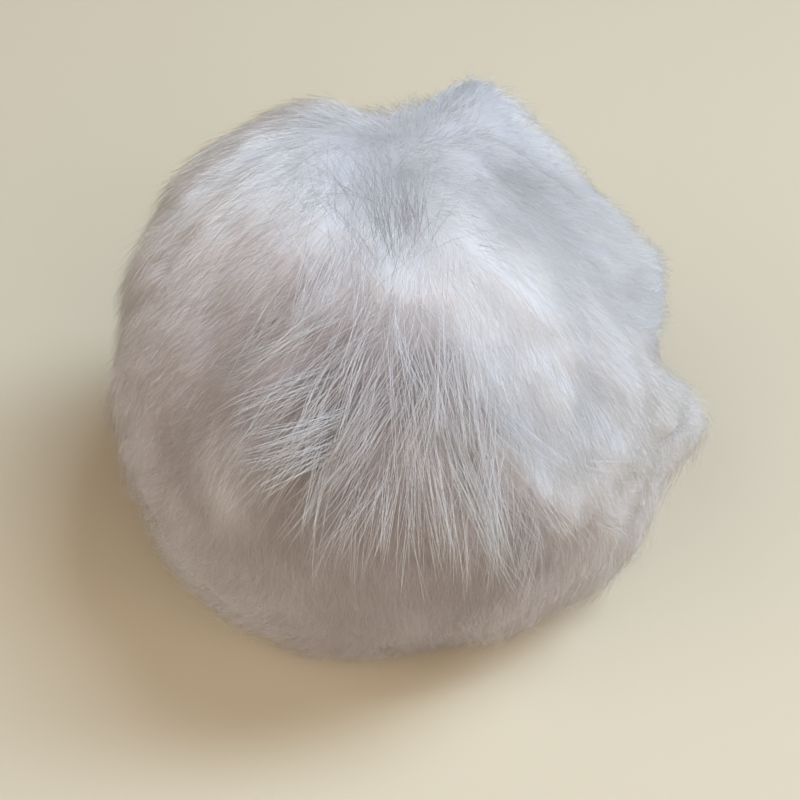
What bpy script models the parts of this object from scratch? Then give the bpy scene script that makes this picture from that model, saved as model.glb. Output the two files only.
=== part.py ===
"""A fur pom pom at rest on a table.

It is one solid: a lumpy ball of dense fur, flat where it rests, with just under three hundred
three-sided locks that are fused to it by their roots, stand apart from each other and lie away from
the ball's crown. The lowest ones lie along the table. The origin is the middle of the flat spot, +Z is
up, and the crown leans towards -Y.
"""

import math
import random
from collections import namedtuple

import bmesh
import bpy
from mathutils import Matrix, Vector, noise

MM = 0.001

# Sizes of the ball.
FUR_RADIUS = 37.8 * MM  # from the ball's middle to the tips of its locks
MIDDLE_HEIGHT = 31.5 * MM  # the fur gives way under the ball, so its middle is lower than its radius
BODY_SHARE = 0.88  # of the fur's radius, where the fur is dense enough to be solid
BODY_SWELL_SHARE = 0.6  # the dense body rises and sinks less than its locks do
MIDDLE = Vector((0.0, 0.0, MIDDLE_HEIGHT))
Z_AXIS = Vector((0.0, 0.0, 1.0))

# The crown, from which the fur parts, as an azimuth from +X and an elevation.
CROWN_AZIMUTH_DEG = -60.0
CROWN_ELEVATION_DEG = 55.0

# The flat spot, which has five corners, one on each of the grid's edges that meet straight below.
FOOT_RADIUS = 12.0 * MM
FOOT_SPREAD_DEG = 25.0  # the grid's corners this close round straight down belong to it

# Locks: one on each face of an icosphere, but for the underside.
LOCK_GRID_SUBDIVISIONS = 3
GRID_TURN_DEG = 25.0  # about Z, so that no row of locks lines up with an axis
LOWEST_ROOT_DEG = -50.0  # elevation of the lowest lock's root
GRID_JITTER = 0.13  # how far a lock's corner strays, as a share of a lock's width
ROOT_GAP = 0.4 * MM  # strip of plain ball left round each root
LEAN_DEG = 14.0  # how far round the ball a lock's tip lies from its root
LEAN_AT_CROWN = 0.25  # share of that lean where the locks stand up, at the crown
STRAY_DEG = 28.0  # how far the locks turn from the straight way down from the crown
STRAY_SCALE = 1.3  # how often that turn changes round the ball
TIP_REACH = (0.95, 1.03)  # the tips' distance from the middle, as a share of the fur's reach there
LEAST_RISE = 1.5 * MM  # of a tip above its root, also in a hollow
TABLE_SPREAD_DEG = 30.0  # locks this close above the table lean less, and the lowest ones outwards

LockLevel = namedtuple("LockLevel", "along height width")
LOCK_LEVELS = (
    LockLevel(along=0.30, height=0.42, width=0.72),
    LockLevel(along=0.66, height=0.80, width=0.38),
)
SEED = 14

# Swells and hollows of the ball: where each lies, how far it rises, and how wide it spreads.
Swell = namedtuple("Swell", "name azimuth_deg elevation_deg rise_mm spread_deg")
SWELLS = (
    Swell("right tuft", -9, -9, 7.0, 9),
    Swell("notch over the right tuft", 4, 7, -6.0, 8),
    Swell("right shoulder", 13, 16, 2.0, 8),
    Swell("flat of the upper right", 26, 24, -4.2, 25),
    Swell("peak at the back", 76, 47, 6.0, 9),
    Swell("dip beside the peak", 98, 44, -6.5, 8),
    Swell("parting behind the top", 100, 64, -3.0, 8),
    Swell("parting at the top", 150, 86, -2.0, 7),
    Swell("parting before the top", -100, 73, -2.4, 7),
    Swell("upper left cheek", 152, 29, 4.4, 18),
    Swell("left cheek", 182, 2, 1.6, 16),
    Swell("lower left cheek", 214, -28, 4.2, 20),
    Swell("lower front", 245, -34, 1.4, 16),
    Swell("lower right tuft", -30, -30, 2.4, 9),
    Swell("front bulge", -84, 20, 1.8, 24),
    Swell("groove right of the crown", -14, 60, -2.2, 8),
    Swell("back left swell", 118, 8, 2.4, 14),
    Swell("back hollow", 92, -12, -1.8, 12),
    Swell("back right swell", 58, 2, 2.8, 13),
)

FUR_COLOUR = (0.66, 0.64, 0.64, 1.0)
FUR_ROUGHNESS = 0.9


def towards(azimuth_deg, elevation_deg):
    """The unit vector at an azimuth from +X and an elevation above the table."""
    azimuth, elevation = math.radians(azimuth_deg), math.radians(elevation_deg)
    flat = math.cos(elevation)
    return Vector((flat * math.cos(azimuth), flat * math.sin(azimuth), math.sin(elevation)))


CROWN = towards(CROWN_AZIMUTH_DEG, CROWN_ELEVATION_DEG)
SWELL_BUMPS = [
    (towards(s.azimuth_deg, s.elevation_deg), s.rise_mm * MM, math.radians(s.spread_deg)) for s in SWELLS
]


def swell(direction):
    """How far the ball rises this way above a plain round one."""
    rise_here = 0.0
    for centre, rise, spread in SWELL_BUMPS:
        off = direction.angle(centre) / spread
        rise_here += rise * math.exp(-0.5 * off * off)
    return rise_here


def fur_reach(direction):
    """How far the fur's tips are from the middle, this way, if nothing stops them."""
    return FUR_RADIUS + swell(direction)


def body_reach(direction):
    """How far the dense body's surface is from the middle, this way."""
    return BODY_SHARE * (FUR_RADIUS + BODY_SWELL_SHARE * swell(direction))


def on_table(direction, reach):
    """The point this far from the middle, or nearer where the table is in the way."""
    if direction.z * reach < -MIDDLE_HEIGHT:
        reach = MIDDLE_HEIGHT / -direction.z
    return MIDDLE + direction * reach


def lie_of_fur(direction):
    """The unit tangent along which the fur lies here, away from the crown."""
    away = -CROWN + direction * direction.dot(CROWN)
    return away.normalized()


def make_grid():
    """A bmesh icosphere of the dense body, jittered, and flat where it rests on the table."""
    grid = bmesh.new()
    bmesh.ops.create_icosphere(grid, subdivisions=LOCK_GRID_SUBDIVISIONS, radius=1.0)
    turn = Matrix.Rotation(math.radians(GRID_TURN_DEG), 3, "Z")
    bmesh.ops.rotate(grid, verts=grid.verts, cent=(0, 0, 0), matrix=turn)
    foot_corners = [v for v in grid.verts if v.co.angle(-Z_AXIS) < math.radians(FOOT_SPREAD_DEG)]
    width = sum(e.calc_length() for e in grid.edges) / len(grid.edges)
    chance = random.Random(SEED)
    for vert in grid.verts:
        stray = Vector([chance.uniform(-1, 1) for _ in range(3)]) * width * GRID_JITTER
        direction = (vert.co + stray).normalized()
        vert.co = on_table(direction, body_reach(direction))
    for vert in foot_corners:
        vert.co = Vector((vert.co.x, vert.co.y, 0.0)).normalized() * FOOT_RADIUS
    foot = [face for face in grid.faces if all(vert in foot_corners for vert in face.verts)]
    bmesh.ops.dissolve_faces(grid, faces=foot, use_verts=True)
    return grid


def carries_a_lock(face):
    """True but for the flat spot and the underside round it."""
    direction = (face.calc_center_median() - MIDDLE).normalized()
    return math.degrees(math.asin(direction.z)) > LOWEST_ROOT_DEG


def tip_heading(direction):
    """Which way from the middle the tip lies of a lock whose root lies in a direction."""
    lie = lie_of_fur(direction)
    side = direction.cross(lie)
    stray = math.radians(STRAY_DEG) * noise.noise(direction * STRAY_SCALE)
    tangent = lie * math.cos(stray) + side * math.sin(stray)
    upright = LEAN_AT_CROWN + (1 - LEAN_AT_CROWN) * math.sin(direction.angle(CROWN))
    lean = math.radians(LEAN_DEG) * upright
    heading = direction * math.cos(lean) + tangent * math.sin(lean)
    rest_elevation = -math.asin(MIDDLE_HEIGHT / FUR_RADIUS)
    room = (math.asin(direction.z) - rest_elevation) / math.radians(TABLE_SPREAD_DEG)
    drop = heading.z - direction.z
    if room < 1 and drop < 0:
        heading.z = direction.z + drop * max(room, -1)
    return heading.normalized()


def lock_path(root, chance):
    """Where a lock's levels and tip are, for a root on the body: a point and a width share each."""
    direction = (root - MIDDLE).normalized()
    tip = tip_heading(direction)
    root_reach = (root - MIDDLE).length
    tip_reach = max(chance.uniform(*TIP_REACH) * fur_reach(tip), root_reach + LEAST_RISE)
    path = []
    for level in (*LOCK_LEVELS, LockLevel(along=1.0, height=1.0, width=0.0)):
        heading = direction.slerp(tip, level.along)
        reach = root_reach + (tip_reach - root_reach) * level.height
        path.append((on_table(heading, reach), level.width))
    return path


def grow_lock(grid, face, path):
    """Extrudes a face along a path, narrowing it, and draws it to a point at the end."""
    middle = face.calc_center_median()
    corners = [vert.co - middle for vert in face.verts]
    for point, width in path[:-1]:
        face = bmesh.ops.extrude_discrete_faces(grid, faces=[face])["faces"][0]
        lowest = min(corner.z for corner in corners) * width
        lift = Z_AXIS * max(0.0, -lowest - point.z)
        for vert, corner in zip(face.verts, corners):
            vert.co = point + corner * width + lift
    tip = bmesh.ops.poke(grid, faces=[face])["verts"][0]
    tip.co = path[-1][0]


def make_fur_ball():
    """The whole pom pom as one mesh object, and the number of its locks."""
    grid = make_grid()
    roots = [face for face in grid.faces if carries_a_lock(face)]
    bmesh.ops.inset_individual(grid, faces=roots, thickness=ROOT_GAP, use_even_offset=True)
    chance = random.Random(SEED + 1)
    paths = [lock_path(face.calc_center_median(), chance) for face in roots]
    for face, path in zip(roots, paths):
        grow_lock(grid, face, path)
    mesh = bpy.data.meshes.new("fur_ball")
    grid.to_mesh(mesh)
    grid.free()
    return bpy.data.objects.new("fur_ball", mesh), len(roots)


def fur_material():
    """A soft, matt, pale grey fur."""
    material = bpy.data.materials.new("fur")
    material.use_nodes = True
    shader = material.node_tree.nodes["Principled BSDF"]
    shader.inputs["Base Color"].default_value = FUR_COLOUR
    shader.inputs["Roughness"].default_value = FUR_ROUGHNESS
    shader.inputs["Metallic"].default_value = 0.0
    return material


def main():
    for obj in list(bpy.data.objects):
        bpy.data.objects.remove(obj)
    collection = bpy.data.collections.new("pom pom")
    bpy.context.scene.collection.children.link(collection)
    fur_ball, locks = make_fur_ball()
    fur_ball.data.materials.append(fur_material())
    collection.objects.link(fur_ball)
    print("locks:", locks)


main()
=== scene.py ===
"""The looks of a fur pom pom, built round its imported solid.

The ball is built as the real one is: a dense soft body of under-fur and, rooted in it, coats of single
hairs. The fuzz and the halo are short, very fine and all over. The over-fur lies on them at the front, and
the guard hairs, the longest of all, draw together into pointed wisps there. Smaller patches of tips lie at
the front right and the upper left. The fur parts along an arc over the top and lies away from it, and a
few dark hairs lie along that parting. Near the table hairs lean less, and the lowest ones turn outwards.
"""

import math
from collections import namedtuple

import bpy
import numpy as np
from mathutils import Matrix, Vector


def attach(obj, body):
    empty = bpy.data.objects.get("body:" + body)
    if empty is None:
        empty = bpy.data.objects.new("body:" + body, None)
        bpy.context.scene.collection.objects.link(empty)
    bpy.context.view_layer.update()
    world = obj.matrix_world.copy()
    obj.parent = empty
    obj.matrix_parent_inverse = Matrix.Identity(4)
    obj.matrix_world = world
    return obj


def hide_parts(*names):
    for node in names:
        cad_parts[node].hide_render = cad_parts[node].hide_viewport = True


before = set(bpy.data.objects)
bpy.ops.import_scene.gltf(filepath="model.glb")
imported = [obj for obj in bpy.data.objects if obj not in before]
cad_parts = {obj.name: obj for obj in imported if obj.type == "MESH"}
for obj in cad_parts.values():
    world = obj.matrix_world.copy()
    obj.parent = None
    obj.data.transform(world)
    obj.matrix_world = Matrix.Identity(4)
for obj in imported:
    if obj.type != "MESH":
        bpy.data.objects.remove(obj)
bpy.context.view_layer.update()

MM = 0.001
SLIGHT = 1e-6  # keeps the way across a hair from being nil

# ---------------------------------------------------------------- the ball's form, as its solid has it

FUR_RADIUS = 37.8 * MM
MIDDLE_HEIGHT = 31.5 * MM
MIDDLE = np.array((0.0, 0.0, MIDDLE_HEIGHT))
# The fur parts along an arc over the top, from its front end to its back end, and lies away from it.
PARTING_FRONT_AZIMUTH_DEG = -76.0
PARTING_FRONT_ELEVATION_DEG = 64.0
PARTING_BACK_AZIMUTH_DEG = 104.0
PARTING_BACK_ELEVATION_DEG = 78.0

Swell = namedtuple("Swell", "name azimuth_deg elevation_deg rise_mm spread_deg")
SWELLS = (
    Swell("right tuft", -9, -9, 7.0, 9),
    Swell("notch over the right tuft", 4, 7, -6.0, 8),
    Swell("right shoulder", 13, 16, 2.0, 8),
    Swell("flat of the upper right", 26, 24, -4.2, 25),
    Swell("peak at the back", 76, 47, 6.0, 9),
    Swell("dip beside the peak", 98, 44, -6.5, 8),
    Swell("parting behind the top", 100, 64, -3.0, 8),
    Swell("parting at the top", 150, 86, -2.0, 7),
    Swell("parting before the top", -100, 73, -2.4, 7),
    Swell("upper left cheek", 152, 29, 4.4, 18),
    Swell("left cheek", 182, 2, 1.6, 16),
    Swell("lower left cheek", 214, -28, 4.2, 20),
    Swell("lower front", 245, -34, 1.4, 16),
    Swell("lower right tuft", -30, -30, 2.4, 9),
    Swell("front bulge", -84, 20, 1.8, 24),
    Swell("groove right of the crown", -14, 60, -2.2, 8),
    Swell("back left swell", 118, 8, 2.4, 14),
    Swell("back hollow", 92, -12, -1.8, 12),
    Swell("back right swell", 58, 2, 2.8, 13),
)

# ---------------------------------------------------------------- the combed fur's own relief

# Small swells and hollows that only the soft fur has, over the solid's form.
TRIMS = (
    Swell("under the skirt, left", -128, -4, -1.2, 11),
    Swell("under the skirt, front left", -108, -12, -1.2, 11),
    Swell("under the skirt, front", -84, -14, -1.2, 12),
    Swell("under the skirt, front right", -58, -12, -1.2, 11),
    Swell("parting before the top, fuller", -100, 73, 1.6, 8),
    Swell("right lobe", 8, 20, 1.4, 6),
    Swell("upper left flatter", 150, 36, -2.4, 9),
    Swell("left cheek flatter", 171, 18, -1.7, 10),
    Swell("left fuller", -152, -14, 1.0, 8),
    Swell("lower right fuller", -59, -30, 1.3, 8),
    Swell("right tuft thinner below", -21, -10, -5.0, 8),
    Swell("right tuft thinner", -15, -3, -1.2, 6),
    Swell("peak higher", 75, 47, 1.3, 6),
    Swell("right bump", -13, 25, 1.2, 4),
    Swell("shoulder of the peak", 82, 65, 1.3, 5),
)
# Ridges and creases of the combed fur, each along an arc from one place to another.
Fold = namedtuple("Fold", "name from_azimuth from_elevation to_azimuth to_elevation rise_mm spread_deg")
FOLDS = (
    Fold("parting at the top", 116, 73, 171, 85, -0.2, 3.4),
    Fold("parting down the top", 171, 85, -96, 67, -0.4, 2.0),
    Fold("notch over the right tuft", -16, 21, 10, -6, -7.5, 3.2),
    Fold("left side of the peak", 80, 58, 84, 42, -4.0, 3.8),
    Fold("fold right of the peak", 25, 60, -30, 64, -1.2, 4.2),
    Fold("ridge below the crown", -59, 70, -57, 42, 1.2, 5.0),
    Fold("gap under the ridge", -52, 44, -52, 39, -1.0, 2.4),
    Fold("gap lower down", -50, 28, -53, 20, -1.0, 2.6),
    Fold("hollow of the right shoulder", -26, 43, -12, 31, -0.4, 6.0),
    Fold("band down the right", -38, 58, -35, 26, 0.9, 4.5),
    Fold("band to the right tuft", -35, 26, -15, 6, 1.0, 4.5),
    Fold("fold under the right tuft", -36, 13, -20, -5, -1.2, 3.2),
    Fold("fold lower right", -50, 16, -35, -3, -1.5, 2.4),
    Fold("gap under the right tufts", -71, 13, -53, -8, -1.2, 3.6),
    Fold("left tuft", -125, 23, -131, 2, 1.4, 3.0),
    Fold("gap left of the left tuft", -137, 6, -136, -9, -0.9, 3.8),
    Fold("upper left crease", -178, 12, -157, 32, -0.8, 2.6),
    Fold("left cheek crease", 178, 21, -160, 43, -0.7, 2.2),
    Fold("crease behind the left", 159, 32, -170, 52, -1.0, 2.6),
    Fold("gap below the crown", -102, 55, -89, 53, -1.0, 2.6),
    Fold("gap left of the crown", -150, 37, -134, 42, -1.0, 3.0),
    Fold("gap at the front left", -130, 27, -125, 22, -1.0, 2.0),
    Fold("gap under the skirt", -114, 10, -89, 4, -1.6, 3.0),
    Fold("gap under the skirt, right", -85, 4, -58, -15, -1.3, 4.0),
    Fold("back crease", 60, 18, 84, 30, -1.2, 3.0),
    Fold("back left crease", 128, -6, 120, 28, -1.2, 2.6),
    Fold("back right crease", 36, -16, 44, 14, -1.2, 3.0),
)

# Locks are the broad relief of the fur and strands the finer one. Each is noise, combed along the fur's lie.
LOCK_RELIEF_MM = 0.8
LOCK_SCALE = 26.0  # radians of a wave of the noise for each radian round the ball
LOCK_LENGTH_DEG = 16.0
LOCK_SEED = 6
STRAND_RELIEF_MM = 0.20
STRAND_SCALE = 70.0
STRAND_LENGTH_DEG = 9.0
STRAND_SEED = 7
DRIFT_WAVES = 16
DRIFT_SCALES = (0.6, 1.4)  # of the noise's scale, between which its waves are
COMB_STEPS = 4
SMOOTH_PARTING_DEG = 12.0  # locks and strands fade out this close to the parting

# ---------------------------------------------------------------- the lie of the fur

PARTING_STANDING = 0.13  # radians from the parting within which the fur still stands up
FLOW_TURN = 0.38  # how strongly slow eddies turn the lie of the fur
EDDY_WAVES = 10
EDDY_SCALES = (2.0, 7.0)  # radians of the slowest and the fastest wave for each radian round the ball
EDDY_SEED = 5
TABLE_SPREAD_DEG = 34.0  # hairs this close above the table lean less, and the lowest ones outwards
MOST_TURNED_OUT = 0.6  # of its usual drop, how much the lowest hair rises instead
TABLE_GAP = 0.15 * MM
TIP_TRAVEL = 1.25  # how far along the ball a tip lies, for each unit of its hair's slope

# ---------------------------------------------------------------- the coats of hair

LOWEST_ROOT_DEG = -62.0
ROOT_SCATTER = 3.0  # how far roots are off their even places, against the room that each has
ROOT_SHARE = 0.93  # of the fur's reach, where the hairs are rooted
BODY_SHARE = 0.95  # of the fur's reach, where the body of under-fur ends
BODY_SUBDIVISIONS = 7
LEAST_DROP = 1e-3  # a direction that falls less than this doesn't meet the table
SPARE_ROOTS = 70000  # places thought of for a patch's hairs, of which it keeps some
PATCH_EDGE = 4  # the higher this power, the more sudden a patch's edge
NEAREST_BLOCK = 4000  # hairs whose groups are found in one go

FINE_RINGS = (0.45,)
OVER_RINGS = (0.34, 0.70)
LONG_RINGS = (0.25, 0.52, 0.80)
RING_THICKNESS = {FINE_RINGS: (1.0,), OVER_RINGS: (1.0, 0.72), LONG_RINGS: (1.0, 0.86, 0.55)}
ON_AXIS = 0.1  # a pattern hair's corners nearer than this to its axis are its ends

# Where a coat's hairs stand closest together, and how soon they thin out round there.
Patch = namedtuple("Patch", "azimuth_deg elevation_deg spread_deg")
# A coat's values are the pieces it is made in and the hairs in each, then a hair's rings, as shares of its
# length, and its thickness, and the lowest and highest reach of the tips, as shares of the fur's. Then come
# how far hairs lean, gather into wisps, stray and wave, what share of the way to white their tone goes
# (below 0, away from white), how much it varies, and the patch they grow in. Last are whether they lie
# along the parting and not away from it, and whether they shade the fur round them. Only the long pale
# hairs do, so that the rest stays soft and light.
Coat = namedtuple(
    "Coat",
    "name pieces hairs rings thick_mm lowest highest lean_deg gather stray_deg wave_mm lift tone_spread "
    "patch along_parting shades",
    defaults=(None, False, False),
)
COATS = (
    Coat(
        "fuzz", pieces=5, hairs=20000, rings=FINE_RINGS, thick_mm=0.050, lowest=0.965, highest=1.024,
        lean_deg=13, gather=0.40, stray_deg=20, wave_mm=0.25, lift=0.05, tone_spread=0.035,
    ),
    Coat(
        "halo", pieces=1, hairs=12000, rings=FINE_RINGS, thick_mm=0.033, lowest=1.00, highest=1.045,
        lean_deg=9, gather=0.15, stray_deg=25, wave_mm=0.25, lift=0.20, tone_spread=0.035,
    ),
    Coat(
        "over_fur", pieces=1, hairs=380, rings=OVER_RINGS, thick_mm=0.056, lowest=0.985, highest=1.035,
        lean_deg=19, gather=0.55, stray_deg=20, wave_mm=0.15, lift=0.20, tone_spread=0.08,
        patch=Patch(-96, 42, 14),
    ),
    Coat(
        "guard_hair", pieces=1, hairs=860, rings=LONG_RINGS, thick_mm=0.084, lowest=1.01, highest=1.090,
        lean_deg=25, gather=1.0, stray_deg=9, wave_mm=0.20, lift=0.90, tone_spread=0.07,
        patch=Patch(-92, 43.5, 10.5), shades=True,
    ),
    Coat(
        "front_right_tips", pieces=1, hairs=130, rings=LONG_RINGS, thick_mm=0.080, lowest=1.00, highest=1.06,
        lean_deg=22, gather=0.95, stray_deg=9, wave_mm=0.12, lift=0.90, tone_spread=0.06,
        patch=Patch(-71, 21, 6), shades=True,
    ),
    Coat(
        "upper_left_tips", pieces=1, hairs=170, rings=LONG_RINGS, thick_mm=0.075, lowest=0.99, highest=1.035,
        lean_deg=20, gather=0.85, stray_deg=14, wave_mm=0.12, lift=0.90, tone_spread=0.05,
        patch=Patch(-120, 61, 8), shades=True,
    ),
    Coat(
        "dark_hair", pieces=1, hairs=80, rings=LONG_RINGS, thick_mm=0.064, lowest=1.04, highest=1.13,
        lean_deg=11, gather=0, stray_deg=14, wave_mm=0.25, lift=-16.0, tone_spread=0.05,
        patch=Patch(-98, 71, 3.5), along_parting=True,
    ),
    Coat(
        "dark_strand", pieces=1, hairs=90, rings=LONG_RINGS, thick_mm=0.052, lowest=1.03, highest=1.08,
        lean_deg=13, gather=0, stray_deg=35, wave_mm=0.30, lift=-12.0, tone_spread=0.05,
        patch=Patch(-120, 68, 9), along_parting=True,
    ),
)
SEED = 21

# Hairs draw together in tufts and, closer, in wisps, and the wisps of a patch are finer still.
Group = namedtuple("Group", "count stray_deg rise_spread")
TUFTS = Group(170, 14, 0.008)
WISPS = Group(900, 13, 0.010)
PATCH_WISPS = Group(2400, 24, 0.012)
WISP_PULL = 0.92  # of the pull on a tip, the share towards its wisp, and the rest is towards its tuft
GATHER_RANGE = (0.5, 1.0)  # of its coat's gathering, between which a hair's own is
TUFT_STRAY = 0.7  # how much of its tuft's stray a hair takes over
LEAN_RANGE = (0.75, 1.15)  # of its coat's lean, between which a hair's own is
TIP_SHARE = 0.6  # of a tip's reach, the share that the fur has where the tip lies and not where the root is
TURN_POWER = 1.35  # above 1, a hair leaves its root steeply and lies over further on
RISE_POWER = 1.7  # above 1, a hair gains most of its reach near its root
WAVE_RUN = 5.0  # radians of its wave from a hair's root to its tip
WAVE_SPREAD = 0.8  # how far the waves of a wisp's hairs are out of step
# How much a hair's tone varies with its tuft, with its wisp and for itself, against its coat's spread.
TUFT_VARIES = 0.45
WISP_VARIES = 0.6
HAIR_VARIES = 0.6

# ---------------------------------------------------------------- tones with painted light and shade, colours and finishes

# The fur's tone, from 0, a warm taupe, through white to 1, a cool grey, and where it isn't the usual one.
# Away from white the tones are partly the undercoat's own mauve and partly painted shade, and the white
# and pale spots are painted light.
WHITE_TONE = 0.5
FUR_TONE = 0.43
# Painted light and shade of the relief: locks, strands and ridges are paler, and the gaps between them and
# the creases darker.
LOCK_PAINTED_LIGHT = 0.05  # how much nearer to white the locks are than the gaps between them
STRAND_PAINTED_LIGHT = 0.02
FOLD_PAINTED_LIGHT = 0.05  # how much nearer to white a ridge is for each millimetre of its rise, and a crease further
# The painted shade of a crease grows with its depth down to this many millimetres.
MOST_FOLD_MM = 1.8
TONE_ENDS = (0.02, 0.98)  # no hair's tone is past these, so that its strip stays on the chart
Shade = namedtuple("Shade", "name azimuth_deg elevation_deg tone spread_deg")
PAINTED_LIGHT_AND_TONES = (
    # Painted light: the white and pale spots lighten the fur where more light falls on it.
    Shade("white crown", -64, 50, 0.04, 12),
    Shade("white below the crown", -66, 42, 0.11, 9),
    Shade("white right tuft", -12, -4, 0.09, 14),
    Shade("white upper left", 178, 36, 0.05, 14),
    Shade("pale left tuft", -130, 8, 0.32, 5.5),
    Shade("pale right of the front", -61, 21, 0.21, 12),
    # Painted shade: the grey spots darken the fur on the top, the peak and the right shoulder, in a fold and
    # in the parting.
    Shade("grey right of the peak", -3, 58, 0.31, 17),
    Shade("fold right of the peak", 11, 64, 0.08, 6),
    Shade("grey peak", 78, 50, 0.22, 12),
    Shade("grey at the top", 120, 76, 0.20, 16),
    Shade("grey parting", -102, 73, 0.16, 7),
    Shade("grey left of the parting", -150, 68, 0.17, 15),
    Shade("grey upper left", 157, 54, 0.06, 12),
    Shade("grey right shoulder", -2, 30, 0.09, 12),
    # Painted light, lighter at the lower right.
    Shade("white lower right", -38, 4, 0.06, 10),
    # Painted shade in a hollow.
    Shade("warm hollow", -52, 38, -0.15, 7),
    # Painted shade on the right side.
    Shade("grey right side", -38, 31, 0.14, 11),
    # The mauve spots are partly the undercoat's own colour and partly painted shade on the front and the
    # left.
    Shade("mauve left of the crown", -131, 48, -0.20, 14),
    Shade("mauve front", -105, 18, -0.38, 20),
    Shade("mauve left", -152, 10, -0.23, 22),
    # Painted shade under the overhanging skirt of hair.
    Shade("taupe under the skirt", -72, -3, -0.24, 12),
    # Partly the undercoat's own colour and partly painted shade on the underside.
    Shade("taupe underside", -100, -28, -0.38, 28),
)

TAUPE = (0.40, 0.338, 0.325)
MAUVE_GREY = (0.58, 0.52, 0.51)
WARM_PALE_GREY = (0.68, 0.65, 0.645)
WARM_WHITE = (0.77, 0.73, 0.715)
WHITE = (0.755, 0.76, 0.77)
COOL_PALE_GREY = (0.65, 0.66, 0.68)
COOL_GREY = (0.485, 0.49, 0.50)
SLATE_GREY = (0.28, 0.28, 0.285)
TONE_CHART = (
    (0.0, TAUPE),
    (0.2, MAUVE_GREY),
    (0.43, WARM_PALE_GREY),
    (0.465, WARM_WHITE),
    (WHITE_TONE, WHITE),
    (0.57, COOL_PALE_GREY),
    (0.78, COOL_GREY),
    (1.0, SLATE_GREY),
)
NO_SHADE = (1.0, 1.0, 1.0)
# Towards its root a hair is darker: partly the undercoat's own colour, partly painted shade from the hairs
# round it.
ROOT_TONE_AND_PAINTED_SHADE = (0.90, 0.88, 0.88)
# Painted shade: the body is darker than its hairs, as the hairs over it keep light from it.
BODY_PAINTED_SHADE = (0.74, 0.71, 0.71)
SHADED_BELOW = 0.1  # the height along a hair up to which it has its root's shade
CLEAR_ABOVE = 0.8  # the height from which on it has none of it
BODY_HEIGHT = 0.25  # how far up the hairs the body's colour is that of
HAIR_ROUGHNESS = 0.6
HAIR_GLOSS = 0.3
HAIR_SHEEN = 0.3
BODY_ROUGHNESS = 0.95
BODY_GLOSS = 0.1
BODY_SHEEN = 0.4
SHEEN_ROUGHNESS = 0.5
NAP_SCALE = 2200.0
NAP_DETAIL = 2.0
NAP_STRENGTH = 0.4
NAP_HEIGHT = 0.12 * MM
FLOOR_COLOUR = (0.60, 0.515, 0.375)
FLOOR_ROUGHNESS = 0.8
FLOOR_GLOSS = 0.15

HAIR_UV = "OFBake"
TONE_NAME = "tone"
TONE_HALF_WIDTH = 0.003  # of the strip of the tone chart that one hair is coloured from
MIX_A, MIX_B, MIX_RESULT = 6, 7, 2  # where a Mix node has its sockets for colours

# ---------------------------------------------------------------- table, lights and camera

TABLE_SIZE = 4.0
# Lights look at the ball's middle from a direction and a distance, and have a power in watts.
Light = namedtuple("Light", "name azimuth_deg elevation_deg distance width height power colour")
LIGHTS = (
    Light("window", 7, 57.5, 0.9, 0.24, 0.6, 9.4, (0.60, 0.79, 1.0)),
    Light("front right lamp", -52, 38, 1.0, 0.8, 0.8, 5.3, (0.95, 0.88, 0.82)),
    Light("front left lamp", -146, 50, 1.0, 0.8, 0.8, 4.8, (0.94, 0.94, 0.87)),
)
ROOM_COLOUR = (1.0, 0.42, 0.22)
ROOM_STRENGTH = 0.10
CAMERA_ELEVATION_DEG = 46.0
CAMERA_DISTANCE = 255.0 * MM
LENS_MM = 85.0
SENSOR_MM = 36.0
NEAREST_SEEN = 10.0 * MM
# The ball's middle lies this far right of the view's middle and above it, at the ball.
BALL_RIGHT = 1.75 * MM
BALL_UP = 4.3 * MM

# ---------------------------------------------------------------- directions from the middle of the ball


def towards(azimuth_deg, elevation_deg):
    """The unit vector at an azimuth from +X and an elevation above the table."""
    azimuth, elevation = math.radians(azimuth_deg), math.radians(elevation_deg)
    flat = math.cos(elevation)
    return np.array((flat * math.cos(azimuth), flat * math.sin(azimuth), math.sin(elevation)))


def unit(vectors):
    """The same vectors at length 1."""
    return vectors / np.linalg.norm(vectors, axis=-1, keepdims=True)


def angle_between(directions, axis):
    """The angle of each unit direction to a unit axis."""
    return np.arccos(np.clip(directions @ axis, -1.0, 1.0))


PARTING_FRONT = towards(PARTING_FRONT_AZIMUTH_DEG, PARTING_FRONT_ELEVATION_DEG)
PARTING_BACK = towards(PARTING_BACK_AZIMUTH_DEG, PARTING_BACK_ELEVATION_DEG)


def nearest_on_arc(directions, start, end):
    """The place of an arc that is nearest to each direction."""
    run = end - start
    share = np.clip((directions - start) @ run / (run @ run), 0.0, 1.0)
    return unit(start + share[:, None] * run)


def angle_to_arc(directions, start, end):
    """The angle of each direction to the nearest place of an arc."""
    near = nearest_on_arc(directions, start, end)
    return np.arccos(np.clip(np.sum(directions * near, axis=1), -1.0, 1.0))


def angle_to_fold(directions, fold):
    """The angle of each direction to the nearest place of a fold."""
    start = towards(fold.from_azimuth, fold.from_elevation)
    return angle_to_arc(directions, start, towards(fold.to_azimuth, fold.to_elevation))


def spread_directions(count, chance):
    """Unit vectors spread evenly over the ball on a golden spiral, a little off their places."""
    step = np.arange(count) + 0.5
    height = 1 - (1 - math.sin(math.radians(LOWEST_ROOT_DEG))) * step / count
    turn = step * math.pi * (3 - math.sqrt(5))
    flat = np.sqrt(1 - height**2)
    even = np.stack((flat * np.cos(turn), flat * np.sin(turn), height), axis=1)
    return unit(even + chance.normal(size=even.shape) * math.sqrt(ROOT_SCATTER / count))


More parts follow.
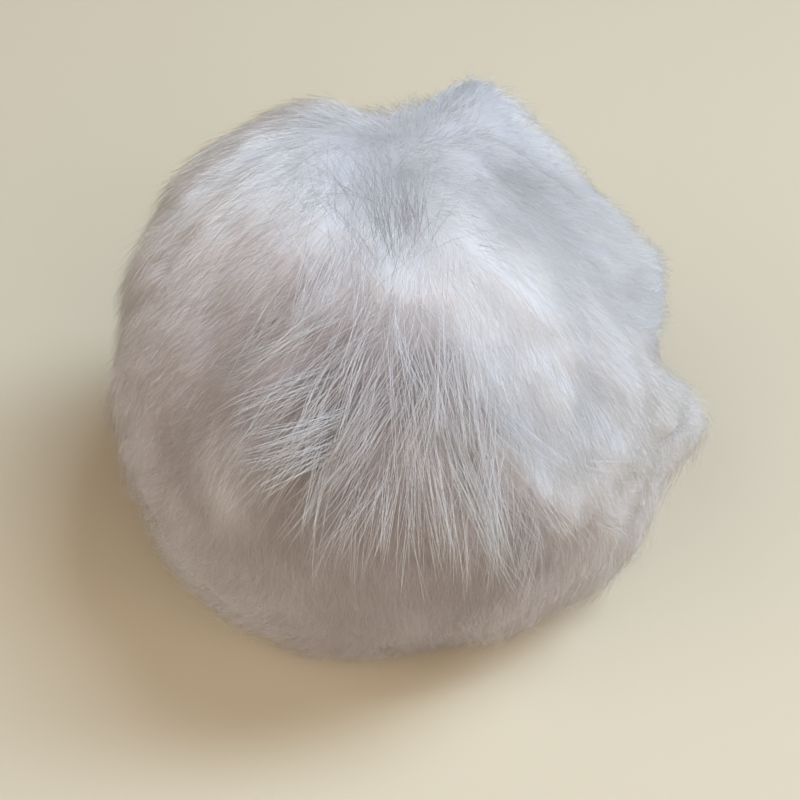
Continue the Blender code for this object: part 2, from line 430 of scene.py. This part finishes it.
def nearest(directions, centres):
    """The index of the centre nearest to each direction."""
    found = np.empty(len(directions), dtype=np.int64)
    for start in range(0, len(directions), NEAREST_BLOCK):
        block = directions[start : start + NEAREST_BLOCK].astype(np.float32)
        found[start : start + NEAREST_BLOCK] = np.argmax(block @ centres.T.astype(np.float32), axis=1)
    return found


# ---------------------------------------------------------------- the fur's lie, reach, and tone with painted light and shade


class Eddies:
    """Slow random turns of the fur's lie, as a sum of waves round the ball."""

    def __init__(self, chance, waves, slowest, fastest):
        self.waves = [
            (
                unit(chance.normal(size=3)) * chance.uniform(slowest, fastest),
                chance.uniform(0, 2 * math.pi),
                unit(chance.normal(size=3)),
            )
            for _ in range(waves)
        ]

    def push(self, directions):
        """How far and which way the fur is pushed in each direction."""
        total = np.zeros_like(directions)
        for run, phase, way in self.waves:
            total += np.sin(directions @ run + phase)[:, None] * way
        return total / math.sqrt(len(self.waves) / 2)


EDDIES = Eddies(np.random.default_rng(EDDY_SEED), EDDY_WAVES, *EDDY_SCALES)


def lie_of_fur(directions):
    """Which way the fur lies along the ball in each direction, shorter where it stands up at the parting."""
    away = FLOW_TURN * EDDIES.push(directions) - nearest_on_arc(directions, PARTING_FRONT, PARTING_BACK)
    away -= directions * np.sum(directions * away, axis=1, keepdims=True)
    return away / (np.linalg.norm(away, axis=1, keepdims=True) + PARTING_STANDING)


def lie_along_parting(directions):
    """The way along the parting, from its front to its back, for hairs that lie in it."""
    run = unit(PARTING_BACK - PARTING_FRONT)
    return unit(run - directions * (directions @ run)[:, None])


class Drift:
    """Smooth noise over the ball, about -1 to 1, as a sum of random waves."""

    def __init__(self, chance, scale):
        runs = unit(chance.normal(size=(DRIFT_WAVES, 3))) * scale
        self.runs = runs * chance.uniform(*DRIFT_SCALES, size=(DRIFT_WAVES, 1))
        self.phases = chance.uniform(0, 2 * math.pi, size=DRIFT_WAVES)

    def __call__(self, directions):
        return np.sin(directions @ self.runs.T + self.phases).sum(axis=1) / math.sqrt(len(self.phases) / 2)

    def combed(self, directions, length_deg):
        """The same noise drawn out along the lie of the fur."""
        total = self(directions)
        for sense in (-1, 1):
            place = directions
            for _ in range(COMB_STEPS):
                place = unit(place + lie_of_fur(place) * sense * math.radians(length_deg) / COMB_STEPS / 2)
                total = total + self(place)
        return total / (2 * COMB_STEPS + 1)


LOCK_DRIFT = Drift(np.random.default_rng(LOCK_SEED), LOCK_SCALE)
STRAND_DRIFT = Drift(np.random.default_rng(STRAND_SEED), STRAND_SCALE)


def locks(directions):
    """The broad relief of the fur's locks, about -1 to 1."""
    return LOCK_DRIFT.combed(directions, LOCK_LENGTH_DEG)


def strands(directions):
    """The finer relief of the strands that make up the locks."""
    return STRAND_DRIFT.combed(directions, STRAND_LENGTH_DEG)


def fur_reach(directions):
    """How far the fur's tips are from the middle in each direction."""
    reach = np.full(len(directions), FUR_RADIUS)
    for swell in SWELLS + TRIMS:
        centre = towards(swell.azimuth_deg, swell.elevation_deg)
        off = angle_between(directions, centre) / math.radians(swell.spread_deg)
        reach += swell.rise_mm * MM * np.exp(-0.5 * off**2)
    for fold in FOLDS:
        off = angle_to_fold(directions, fold) / math.radians(fold.spread_deg)
        reach += fold.rise_mm * MM * np.exp(-0.5 * off**2)
    from_parting = angle_to_arc(directions, PARTING_FRONT, PARTING_BACK) / math.radians(SMOOTH_PARTING_DEG)
    smoothing = 1 - np.exp(-(from_parting**2))
    relief_mm = LOCK_RELIEF_MM * locks(directions) + STRAND_RELIEF_MM * strands(directions)
    return reach + relief_mm * MM * smoothing


def paler(tone, amount):
    """The same tones nearer to white, or further from it where the amount is negative."""
    depth = np.maximum(np.abs(tone - WHITE_TONE) - amount, 0.0)
    return WHITE_TONE + np.copysign(depth, tone - WHITE_TONE)


def fur_tone_with_painted_light(directions):
    """The fur's tone in each direction, with the painted light and shade of its spots, locks, strands and
    folds.
    """
    tone = np.full(len(directions), FUR_TONE)
    for shade in PAINTED_LIGHT_AND_TONES:
        off = angle_between(directions, towards(shade.azimuth_deg, shade.elevation_deg))
        tone += shade.tone * np.exp(-0.5 * (off / math.radians(shade.spread_deg)) ** 2)
    # Painted light on locks, strands and ridges, and painted shade in their gaps and in creases.
    lift = LOCK_PAINTED_LIGHT * locks(directions) + STRAND_PAINTED_LIGHT * strands(directions)
    for fold in FOLDS:
        off = angle_to_fold(directions, fold) / math.radians(fold.spread_deg)
        lift += FOLD_PAINTED_LIGHT * max(fold.rise_mm, -MOST_FOLD_MM) * np.exp(-0.5 * off**2)
    return paler(tone, lift)


# ---------------------------------------------------------------- laying the hairs


def tip_headings(directions, lean, stray, lie_of=lie_of_fur):
    """Which way from the middle each hair's tip lies, for its root's direction, its lean and its stray."""
    lie = lie_of(directions)
    side = np.cross(directions, lie)
    tangent = lie * np.cos(stray)[:, None] + side * np.sin(stray)[:, None]
    heading = unit(directions + tangent * np.tan(lean)[:, None] * TIP_TRAVEL)
    rest_elevation = -math.asin(MIDDLE_HEIGHT / FUR_RADIUS)
    room = (np.arcsin(directions[:, 2]) - rest_elevation) / math.radians(TABLE_SPREAD_DEG)
    drop = heading[:, 2] - directions[:, 2]
    eased = directions[:, 2] + drop * np.clip(room, -MOST_TURNED_OUT, 1)
    heading[:, 2] = np.where(drop < 0, eased, heading[:, 2])
    return unit(heading)


class Grouping:
    """Groups of hairs, such as tufts or wisps, whose tips draw together and share a turn and a tone."""

    def __init__(self, group, chance):
        self.centres = spread_directions(group.count, chance)
        self.stray = np.radians(group.stray_deg) * chance.normal(size=group.count)
        self.rise = 1 + group.rise_spread * chance.normal(size=group.count)
        self.tone = chance.normal(size=group.count)
        self.phase = chance.uniform(0, 2 * math.pi, size=group.count)

    def tips(self, lean):
        """Where the middle of each group's tips lies."""
        return tip_headings(self.centres, np.full(len(self.centres), lean), self.stray)


def hair_roots(coat, chance):
    """The directions of a piece's roots: evenly spread, or thickest in the patch."""
    if not coat.patch:
        return spread_directions(coat.hairs, chance)
    spare = spread_directions(SPARE_ROOTS, chance)
    centre = towards(coat.patch.azimuth_deg, coat.patch.elevation_deg)
    off = angle_between(spare, centre) / math.radians(coat.patch.spread_deg)
    luck = np.log(-np.log(chance.uniform(size=len(spare))))
    kept = np.argsort(off**PATCH_EDGE / PATCH_EDGE + luck)
    return spare[np.sort(kept[: coat.hairs])]


def hair_headings(coat, directions, groupings, groups, chance):
    """Which way from the middle each hair's tip lies, drawn towards those of its wisp and its tuft."""
    (tufts, wisps), (tuft, wisp) = groupings, groups
    count = len(directions)
    lean = math.radians(coat.lean_deg)
    stray = tufts.stray[tuft] * TUFT_STRAY + np.radians(coat.stray_deg) * chance.normal(size=count)
    own_lean = lean * chance.uniform(*LEAN_RANGE, size=count)
    lie_of = lie_along_parting if coat.along_parting else lie_of_fur
    own = tip_headings(directions, own_lean, stray, lie_of)
    gather = (coat.gather * chance.uniform(*GATHER_RANGE, size=count))[:, None]
    drawn = wisps.tips(lean)[wisp] * WISP_PULL + tufts.tips(lean)[tuft] * (1 - WISP_PULL)
    return unit(own * (1 - gather) + drawn * gather)


def hair_paths(levels, directions, heading, reach_share):
    """The places along each hair, at levels from 0 at its root to 1 at its tip."""
    tip_reach = reach_share * (TIP_SHARE * fur_reach(heading) + (1 - TIP_SHARE) * fur_reach(directions))
    root_reach = ROOT_SHARE * fur_reach(directions)
    turned = (levels**TURN_POWER)[None, :, None]
    risen = (1 - (1 - levels) ** RISE_POWER)[None, :]
    way = unit(directions[:, None, :] * (1 - turned) + heading[:, None, :] * turned)
    out = root_reach[:, None] + (tip_reach - root_reach)[:, None] * risen
    return MIDDLE + way * out[:, :, None]


def hair_waves(coat, levels, directions, heading, phase, chance):
    """How far to its side each place along each hair waves."""
    side = unit(np.cross(directions, heading - directions + SLIGHT))
    out_of_step = chance.normal(size=(len(directions), 1)) * WAVE_SPREAD
    wave = np.sin(levels[None, :] * WAVE_RUN + phase[:, None] + out_of_step)
    return side[:, None, :] * (wave * levels[None, :] * coat.wave_mm * MM)[:, :, None]


def hair_tones(coat, heading, tuft_tone, wisp_tone, chance):
    """Each hair's tone: that of the fur where its tip lies, with its painted light and shade, paler or
    darker by its coat and its groups.
    """
    tone = fur_tone_with_painted_light(heading)
    own_tone = chance.normal(size=len(tone))
    varied = TUFT_VARIES * tuft_tone + WISP_VARIES * wisp_tone + HAIR_VARIES * own_tone
    lifted = paler(tone, coat.lift * np.abs(tone - WHITE_TONE) + coat.tone_spread * varied)
    return np.clip(lifted, *TONE_ENDS)


def lay_hairs(coat, groupings, chance):
    """The places of a piece's hairs' roots, rings and tips, and the hairs' tones."""
    tufts, wisps = groupings
    directions = hair_roots(coat, chance)
    tuft, wisp = nearest(directions, tufts.centres), nearest(directions, wisps.centres)
    heading = hair_headings(coat, directions, groupings, (tuft, wisp), chance)
    reach_share = chance.uniform(coat.lowest, coat.highest, size=len(directions))
    reach_share = reach_share * tufts.rise[tuft] * wisps.rise[wisp]
    levels = np.array((0.0, *coat.rings, 1.0))
    path = hair_paths(levels, directions, heading, reach_share)
    path += hair_waves(coat, levels, directions, heading, wisps.phase[wisp], chance)
    path[:, :, 2] = np.maximum(path[:, :, 2], TABLE_GAP + coat.thick_mm * MM)
    return path, hair_tones(coat, heading, tufts.tone[tuft], wisps.tone[wisp], chance)


# ---------------------------------------------------------------- one hair, and its copies


def deselect_all():
    """Nothing is selected, so that the next tool acts on its own piece alone."""
    bpy.ops.object.select_all(action="DESELECT")


def select_corners(piece, wanted):
    """In edit mode, selects only the corners for which wanted is true."""
    bpy.ops.mesh.select_mode(type="VERT")
    bpy.ops.mesh.select_all(action="DESELECT")
    bpy.ops.object.mode_set(mode="OBJECT")
    for corner in piece.data.vertices:
        corner.select = wanted(corner.co)
    bpy.ops.object.mode_set(mode="EDIT")


def model_hair(rings):
    """One three-sided hair, one unit tall and one unit thick, pointed at its root and its tip."""
    thickness = RING_THICKNESS[rings]
    deselect_all()
    bpy.ops.mesh.primitive_circle_add(vertices=3, radius=0.5, fill_type="TRIFAN", location=(0, 0, 0))
    hair = bpy.context.object
    bpy.ops.object.mode_set(mode="EDIT")
    select_corners(hair, lambda co: co.xy.length > ON_AXIS)
    bpy.ops.transform.translate(value=(0, 0, rings[0]))
    for level in range(1, len(rings)):
        bpy.ops.mesh.extrude_region_move(
            TRANSFORM_OT_translate={"value": (0, 0, rings[level] - rings[level - 1])}
        )
        narrower = thickness[level] / thickness[level - 1]
        bpy.ops.transform.resize(value=(narrower, narrower, 1), center_override=(0, 0, rings[level]))
    bpy.ops.mesh.extrude_region_move(TRANSFORM_OT_translate={"value": (0, 0, 1 - rings[-1])})
    bpy.ops.mesh.merge(type="CENTER")
    bpy.ops.mesh.select_all(action="SELECT")
    bpy.ops.mesh.normals_make_consistent(inside=False)
    bpy.ops.object.mode_set(mode="OBJECT")
    return hair


def hair_pattern(hair, rings):
    """The pattern hair as arrays: each corner's level and offset, the faces, and each face corner's place
    on the tone chart, with how far across the hair it is and its height."""
    mesh = hair.data
    heights = np.array((0.0, *rings, 1.0))
    corners = np.array([tuple(vert.co) for vert in mesh.vertices])
    level = np.argmin(np.abs(corners[:, 2:3] - heights[None, :]), axis=1)
    faces = [tuple(face.vertices) for face in mesh.polygons]
    chart = []
    for face in faces:
        middle = corners[list(face), :2].sum(axis=0)
        facing = math.atan2(middle[1], middle[0])
        for index in face:
            x, y = corners[index, :2]
            turn = (math.atan2(y, x) - facing + math.pi) % (2 * math.pi) - math.pi
            across = 0.0 if math.hypot(x, y) < ON_AXIS else math.copysign(1.0, turn)
            chart.append((across, heights[level[index]]))
    return level, corners[:, :2], faces, np.array(chart)


def hair_corners(path, thick, level, offset):
    """The places of the corners of a copy of the pattern hair along each path."""
    run = unit(path[:, -1] - path[:, 0])
    across = unit(np.cross(run, path[:, 0] - MIDDLE))
    over = np.cross(across, run)
    return path[:, level] + thick * (
        across[:, None, :] * offset[None, :, 0:1] + over[:, None, :] * offset[None, :, 1:2]
    )


def copy_hairs(name, hair, coat, path, tone):
    """One mesh with a copy of the pattern hair along each path."""
    level, offset, faces, chart = hair_pattern(hair, coat.rings)
    corners = hair_corners(path, coat.thick_mm * MM, level, offset)
    count = len(path)
    joined = np.concatenate([np.array(face) for face in faces])
    corner_of = joined[None, :] + np.arange(count)[:, None] * len(level)
    sizes = np.tile([len(face) for face in faces], count)

    mesh = bpy.data.meshes.new(name)
    mesh.vertices.add(corners.shape[0] * corners.shape[1])
    mesh.vertices.foreach_set("co", corners.astype(np.float32).ravel())
    mesh.loops.add(corner_of.size)
    mesh.loops.foreach_set("vertex_index", corner_of.astype(np.int32).ravel())
    mesh.polygons.add(len(sizes))
    mesh.polygons.foreach_set("loop_start", (np.cumsum(sizes) - sizes).astype(np.int32))
    mesh.polygons.foreach_set("use_smooth", np.ones(len(sizes), dtype=bool))
    places = np.empty((count, len(chart), 2), dtype=np.float32)
    places[:, :, 0] = tone[:, None] + chart[None, :, 0] * TONE_HALF_WIDTH
    places[:, :, 1] = chart[None, :, 1]
    mesh.uv_layers.new(name=HAIR_UV).data.foreach_set("uv", places.ravel())
    mesh.update(calc_edges=True)
    mesh.validate()
    piece = bpy.data.objects.new(name, mesh)
    bpy.context.scene.collection.objects.link(piece)
    return piece


# ---------------------------------------------------------------- materials


def colour_ramp(nodes, stops):
    """A colour ramp node with these (place, colour) stops."""
    node = nodes.new("ShaderNodeValToRGB")
    elements = node.color_ramp.elements
    while len(elements) < len(stops):
        elements.new(0.5)
    for element, (place, colour) in zip(elements, stops):
        element.position = place
        element.color = (*colour, 1.0)
    return node


def colour_mix(nodes, blend_type):
    """A Mix node for colours, which takes all of its second colour unless its factor is linked."""
    node = nodes.new("ShaderNodeMix")
    node.data_type = "RGBA"
    node.blend_type = blend_type
    node.inputs["Factor"].default_value = 1.0
    return node


def make_hair_shade():
    """A node group: a hair's colour from its tone and the height along it, darker towards the root, partly
    by its own colour and partly by painted shade.
    """
    group = bpy.data.node_groups.new("hair shade", "ShaderNodeTree")
    for name in ("Tone", "Height"):
        group.interface.new_socket(name, in_out="INPUT", socket_type="NodeSocketFloat")
    group.interface.new_socket("Root Shade", in_out="INPUT", socket_type="NodeSocketColor")
    group.interface.new_socket("Color", in_out="OUTPUT", socket_type="NodeSocketColor")
    nodes, links = group.nodes, group.links
    given, shown = nodes.new("NodeGroupInput"), nodes.new("NodeGroupOutput")
    tone = colour_ramp(nodes, TONE_CHART)
    rise = nodes.new("ShaderNodeMapRange")
    rise.interpolation_type = "SMOOTHSTEP"
    rise.inputs["From Min"].default_value = SHADED_BELOW
    rise.inputs["From Max"].default_value = CLEAR_ABOVE
    shade = colour_mix(nodes, "MIX")
    shade.inputs[MIX_B].default_value = (*NO_SHADE, 1.0)
    tint = colour_mix(nodes, "MULTIPLY")
    links.new(given.outputs["Tone"], tone.inputs["Fac"])
    links.new(given.outputs["Height"], rise.inputs["Value"])
    links.new(rise.outputs["Result"], shade.inputs["Factor"])
    links.new(given.outputs["Root Shade"], shade.inputs[MIX_A])
    links.new(tone.outputs["Color"], tint.inputs[MIX_A])
    links.new(shade.outputs[MIX_RESULT], tint.inputs[MIX_B])
    links.new(tint.outputs[MIX_RESULT], shown.inputs["Color"])
    return group


def fur_material(name, roughness, gloss, sheen):
    """A new soft material, its nodes and its links."""
    material = bpy.data.materials.new(name)
    material.use_nodes = True
    nodes, links = material.node_tree.nodes, material.node_tree.links
    shader = nodes["Principled BSDF"]
    shader.inputs["Roughness"].default_value = roughness
    shader.inputs["Specular IOR Level"].default_value = gloss
    shader.inputs["Sheen Weight"].default_value = sheen
    shader.inputs["Sheen Roughness"].default_value = SHEEN_ROUGHNESS
    return material, nodes, links


def hair_material(name, hair_shade):
    """A coat's hair: coloured by the tone chart, with its painted light and shade and darker towards its
    root, softly glossy, with a fuzz of light at its edges.
    """
    material, nodes, links = fur_material(name, HAIR_ROUGHNESS, HAIR_GLOSS, HAIR_SHEEN)
    chart = nodes.new("ShaderNodeUVMap")
    chart.uv_map = HAIR_UV
    parts = nodes.new("ShaderNodeSeparateXYZ")
    shade = nodes.new("ShaderNodeGroup")
    shade.node_tree = hair_shade
    shade.inputs["Root Shade"].default_value = (*ROOT_TONE_AND_PAINTED_SHADE, 1.0)
    links.new(chart.outputs["UV"], parts.inputs["Vector"])
    links.new(parts.outputs["X"], shade.inputs["Tone"])
    links.new(parts.outputs["Y"], shade.inputs["Height"])
    links.new(shade.outputs["Color"], nodes["Principled BSDF"].inputs["Base Color"])
    return material


def body_material(hair_shade):
    """The body's dense under-fur, in the tones of the hairs over it with their painted light and shade,
    darkened all over by more painted shade, with a fine nap.
    """
    material, nodes, links = fur_material("fur body", BODY_ROUGHNESS, BODY_GLOSS, BODY_SHEEN)
    shader = nodes["Principled BSDF"]
    tone = nodes.new("ShaderNodeAttribute")
    tone.attribute_name = TONE_NAME
    shade = nodes.new("ShaderNodeGroup")
    shade.node_tree = hair_shade
    shade.inputs["Height"].default_value = BODY_HEIGHT
    shade.inputs["Root Shade"].default_value = (*BODY_PAINTED_SHADE, 1.0)
    where = nodes.new("ShaderNodeTexCoord")
    nap = nodes.new("ShaderNodeTexNoise")
    nap.inputs["Scale"].default_value = NAP_SCALE
    nap.inputs["Detail"].default_value = NAP_DETAIL
    bump = nodes.new("ShaderNodeBump")
    bump.inputs["Strength"].default_value = NAP_STRENGTH
    bump.inputs["Distance"].default_value = NAP_HEIGHT
    links.new(tone.outputs["Fac"], shade.inputs["Tone"])
    links.new(where.outputs["Object"], nap.inputs["Vector"])
    links.new(nap.outputs["Fac"], bump.inputs["Height"])
    links.new(shade.outputs["Color"], shader.inputs["Base Color"])
    links.new(bump.outputs["Normal"], shader.inputs["Normal"])
    return material


# ---------------------------------------------------------------- pieces


def make_body(hair_shade):
    """The body of under-fur, lumpy and combed, flat where it rests."""
    deselect_all()
    bpy.ops.mesh.primitive_ico_sphere_add(subdivisions=BODY_SUBDIVISIONS, radius=1.0, location=(0, 0, 0))
    body = bpy.context.object
    body.name = body.data.name = "fur_body"
    directions = unit(np.array([tuple(vert.co) for vert in body.data.vertices]))
    height = directions[:, 2]
    reach = BODY_SHARE * fur_reach(directions)
    deepest = -(MIDDLE_HEIGHT - TABLE_GAP)
    to_table = deepest / np.minimum(height, -LEAST_DROP)
    reach = np.where(height * reach < deepest, to_table, reach)
    corners = MIDDLE + directions * reach[:, None]
    body.data.vertices.foreach_set("co", corners.astype(np.float32).ravel())
    # The body takes the fur's tone, with its painted light and shade.
    tone = np.clip(fur_tone_with_painted_light(directions), 0.0, 1.0)
    body.data.attributes.new(TONE_NAME, "FLOAT", "POINT").data.foreach_set("value", tone.astype(np.float32))
    body.data.update()
    bpy.ops.object.shade_smooth()
    body.data.materials.append(body_material(hair_shade))
    return body


def make_coats(hair_shade):
    """The pieces of all the coats."""
    chance = np.random.default_rng(SEED)
    tufts = Grouping(TUFTS, chance)
    wisps = Grouping(WISPS, chance)
    patch_wisps = Grouping(PATCH_WISPS, chance)
    pieces = []
    for coat in COATS:
        hair = model_hair(coat.rings)
        material = hair_material(coat.name.replace("_", " "), hair_shade)
        for index in range(coat.pieces):
            path, tone = lay_hairs(coat, (tufts, patch_wisps if coat.patch else wisps), chance)
            piece = copy_hairs(f"{coat.name}_{index + 1}", hair, coat, path, tone)
            piece.data.materials.append(material)
            piece.visible_shadow = coat.shades
            piece.visible_diffuse = coat.shades
            pieces.append(piece)
        bpy.data.objects.remove(hair)
    return pieces


# ---------------------------------------------------------------- stage


def make_floor():
    """A plain pale table top."""
    deselect_all()
    bpy.ops.mesh.primitive_plane_add(size=TABLE_SIZE, location=(0, 0, 0))
    floor = bpy.context.object
    floor.name = "table_top"
    material = bpy.data.materials.new("table top")
    material.use_nodes = True
    shader = material.node_tree.nodes["Principled BSDF"]
    shader.inputs["Base Color"].default_value = (*FLOOR_COLOUR, 1.0)
    shader.inputs["Roughness"].default_value = FLOOR_ROUGHNESS
    shader.inputs["Specular IOR Level"].default_value = FLOOR_GLOSS
    floor.data.materials.append(material)


def aim(thing, place, target):
    """Puts a light or camera at a place, looking at a target."""
    thing.location = place
    thing.rotation_euler = (Vector(target) - Vector(place)).to_track_quat("-Z", "Y").to_euler()


def light_scene():
    """Soft oblong lights that look at the ball, in a dim warm room."""
    world = bpy.data.worlds.new("room")
    bpy.context.scene.world = world
    world.use_nodes = True
    background = world.node_tree.nodes["Background"]
    background.inputs["Color"].default_value = (*ROOM_COLOUR, 1.0)
    background.inputs["Strength"].default_value = ROOM_STRENGTH
    for light in LIGHTS:
        lamp = bpy.data.lights.new(light.name, "AREA")
        lamp.shape = "RECTANGLE"
        lamp.size = light.width
        lamp.size_y = light.height
        lamp.energy = light.power
        lamp.color = light.colour
        stand = bpy.data.objects.new(light.name, lamp)
        bpy.context.scene.collection.objects.link(stand)
        aim(stand, MIDDLE + towards(light.azimuth_deg, light.elevation_deg) * light.distance, MIDDLE)


def place_camera():
    """The camera looks down at the ball from the front."""
    data = bpy.data.cameras.new("camera")
    data.lens = LENS_MM
    data.sensor_width = SENSOR_MM
    data.clip_start = NEAREST_SEEN
    camera = bpy.data.objects.new("camera", data)
    bpy.context.scene.collection.objects.link(camera)
    back = towards(-90.0, CAMERA_ELEVATION_DEG)
    up = towards(90.0, 90.0 - CAMERA_ELEVATION_DEG)
    place = MIDDLE + back * CAMERA_DISTANCE
    aim(camera, place, MIDDLE - np.array((BALL_RIGHT, 0, 0)) - up * BALL_UP)
    bpy.context.scene.camera = camera


def main():
    """Sets the stage, and builds the ball's body and coats in the place of its solid."""
    bpy.context.scene.view_settings.view_transform = "Standard"
    place_camera()
    light_scene()
    make_floor()
    hair_shade = make_hair_shade()
    body = make_body(hair_shade)
    for piece in (body, *make_coats(hair_shade)):
        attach(piece, "root")
        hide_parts("fur_ball")


main()
